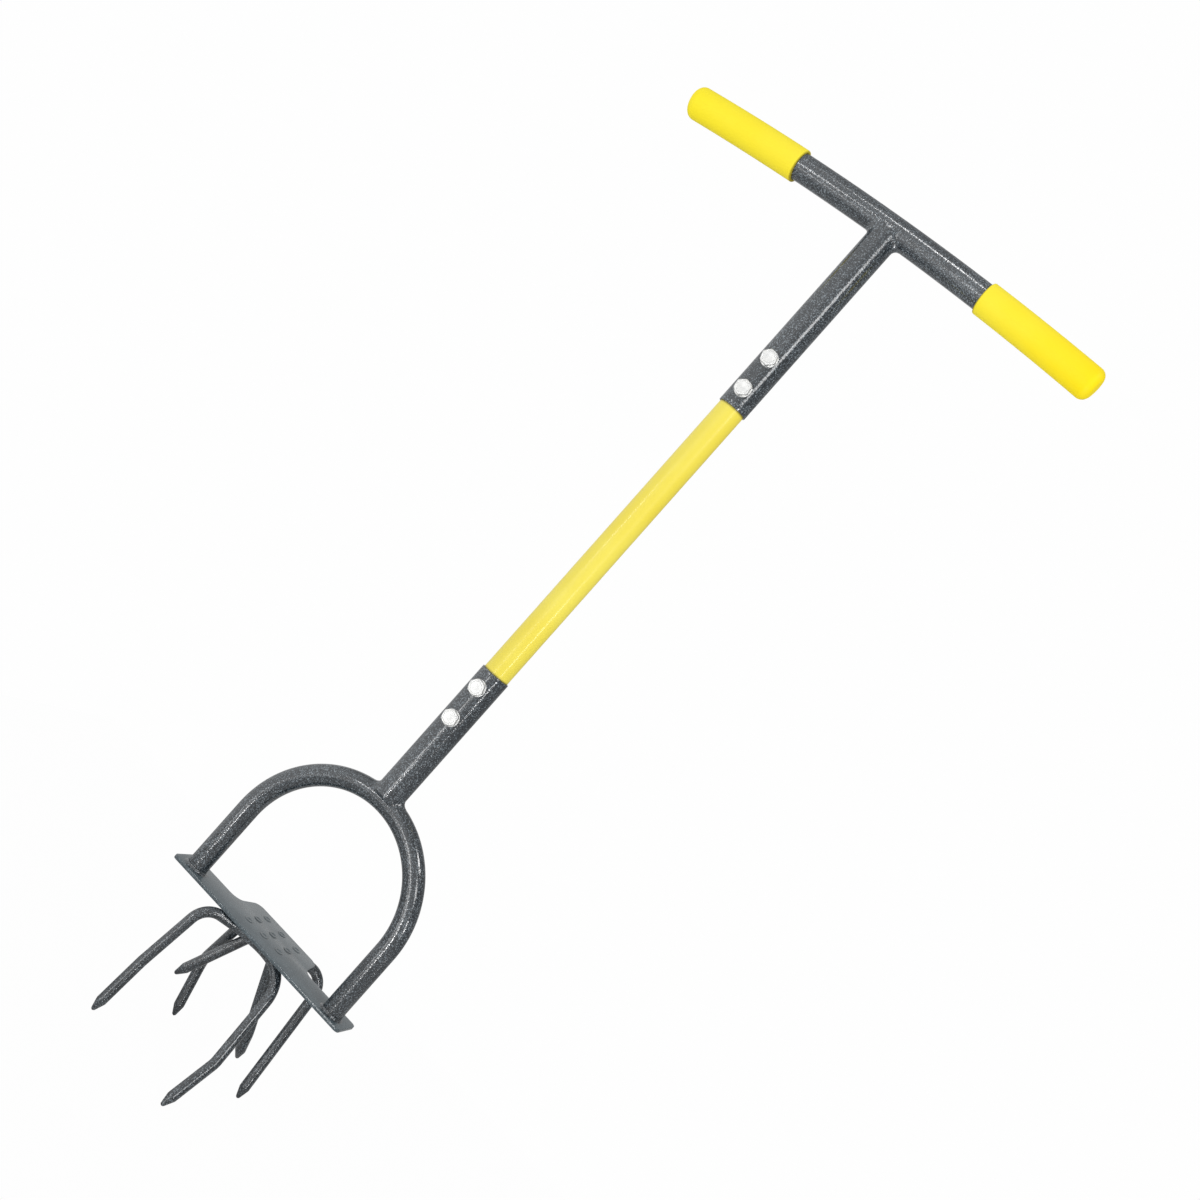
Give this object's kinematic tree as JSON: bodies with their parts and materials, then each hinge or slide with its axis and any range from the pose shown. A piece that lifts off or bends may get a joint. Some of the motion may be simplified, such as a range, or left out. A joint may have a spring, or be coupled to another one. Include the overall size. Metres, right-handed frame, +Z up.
{
  "type": "twist tiller",
  "caption": "Hand twist tiller with a T-handle, a bolted stem, an arch over a foot plate, and bent pointed tines under the plate.",
  "frame": {"origin": "middle of the foot plate's top face, where the stem's axis meets it", "axes": "+Z up the stem, +X along the crossbar and the foot plate, -Y towards the bolt heads"},
  "size_m": [0.4222, 0.1403, 0.9044],
  "materials": {
    "slate_paint": "hammered gloss paint with pale speckle",
    "plate_paint": "satin grey paint",
    "weld_paint": "painted weld",
    "yellow_grip": "soft dipped vinyl",
    "yellow_coat": "gloss coating",
    "zinc": "bright zinc plating"
  },
  "bodies": {
    "root": {"crossbar": "slate_paint", "left_grip": "yellow_grip", "right_grip": "yellow_grip", "handle_weld": "weld_paint", "upper_socket": "slate_paint", "middle_tube": "yellow_coat", "lower_socket": "slate_paint", "bolt_lower_bottom": "zinc", "bolt_lower_top": "zinc", "bolt_upper_bottom": "zinc", "bolt_upper_top": "zinc", "nut_lower_bottom": "zinc", "nut_lower_top": "zinc", "nut_upper_bottom": "zinc", "nut_upper_top": "zinc", "arch_top_weld": "weld_paint", "arch": "slate_paint", "left_arch_weld": "weld_paint", "right_arch_weld": "weld_paint", "foot_plate": "plate_paint", "front_tine_rod": "slate_paint", "middle_tine_rod": "slate_paint", "back_tine_rod": "slate_paint", "front_rod_weld_front": "weld_paint", "front_rod_weld_back": "weld_paint", "middle_rod_weld_front": "weld_paint", "middle_rod_weld_back": "weld_paint", "back_rod_weld_front": "weld_paint", "back_rod_weld_back": "weld_paint"}
  },
  "joints": []
}
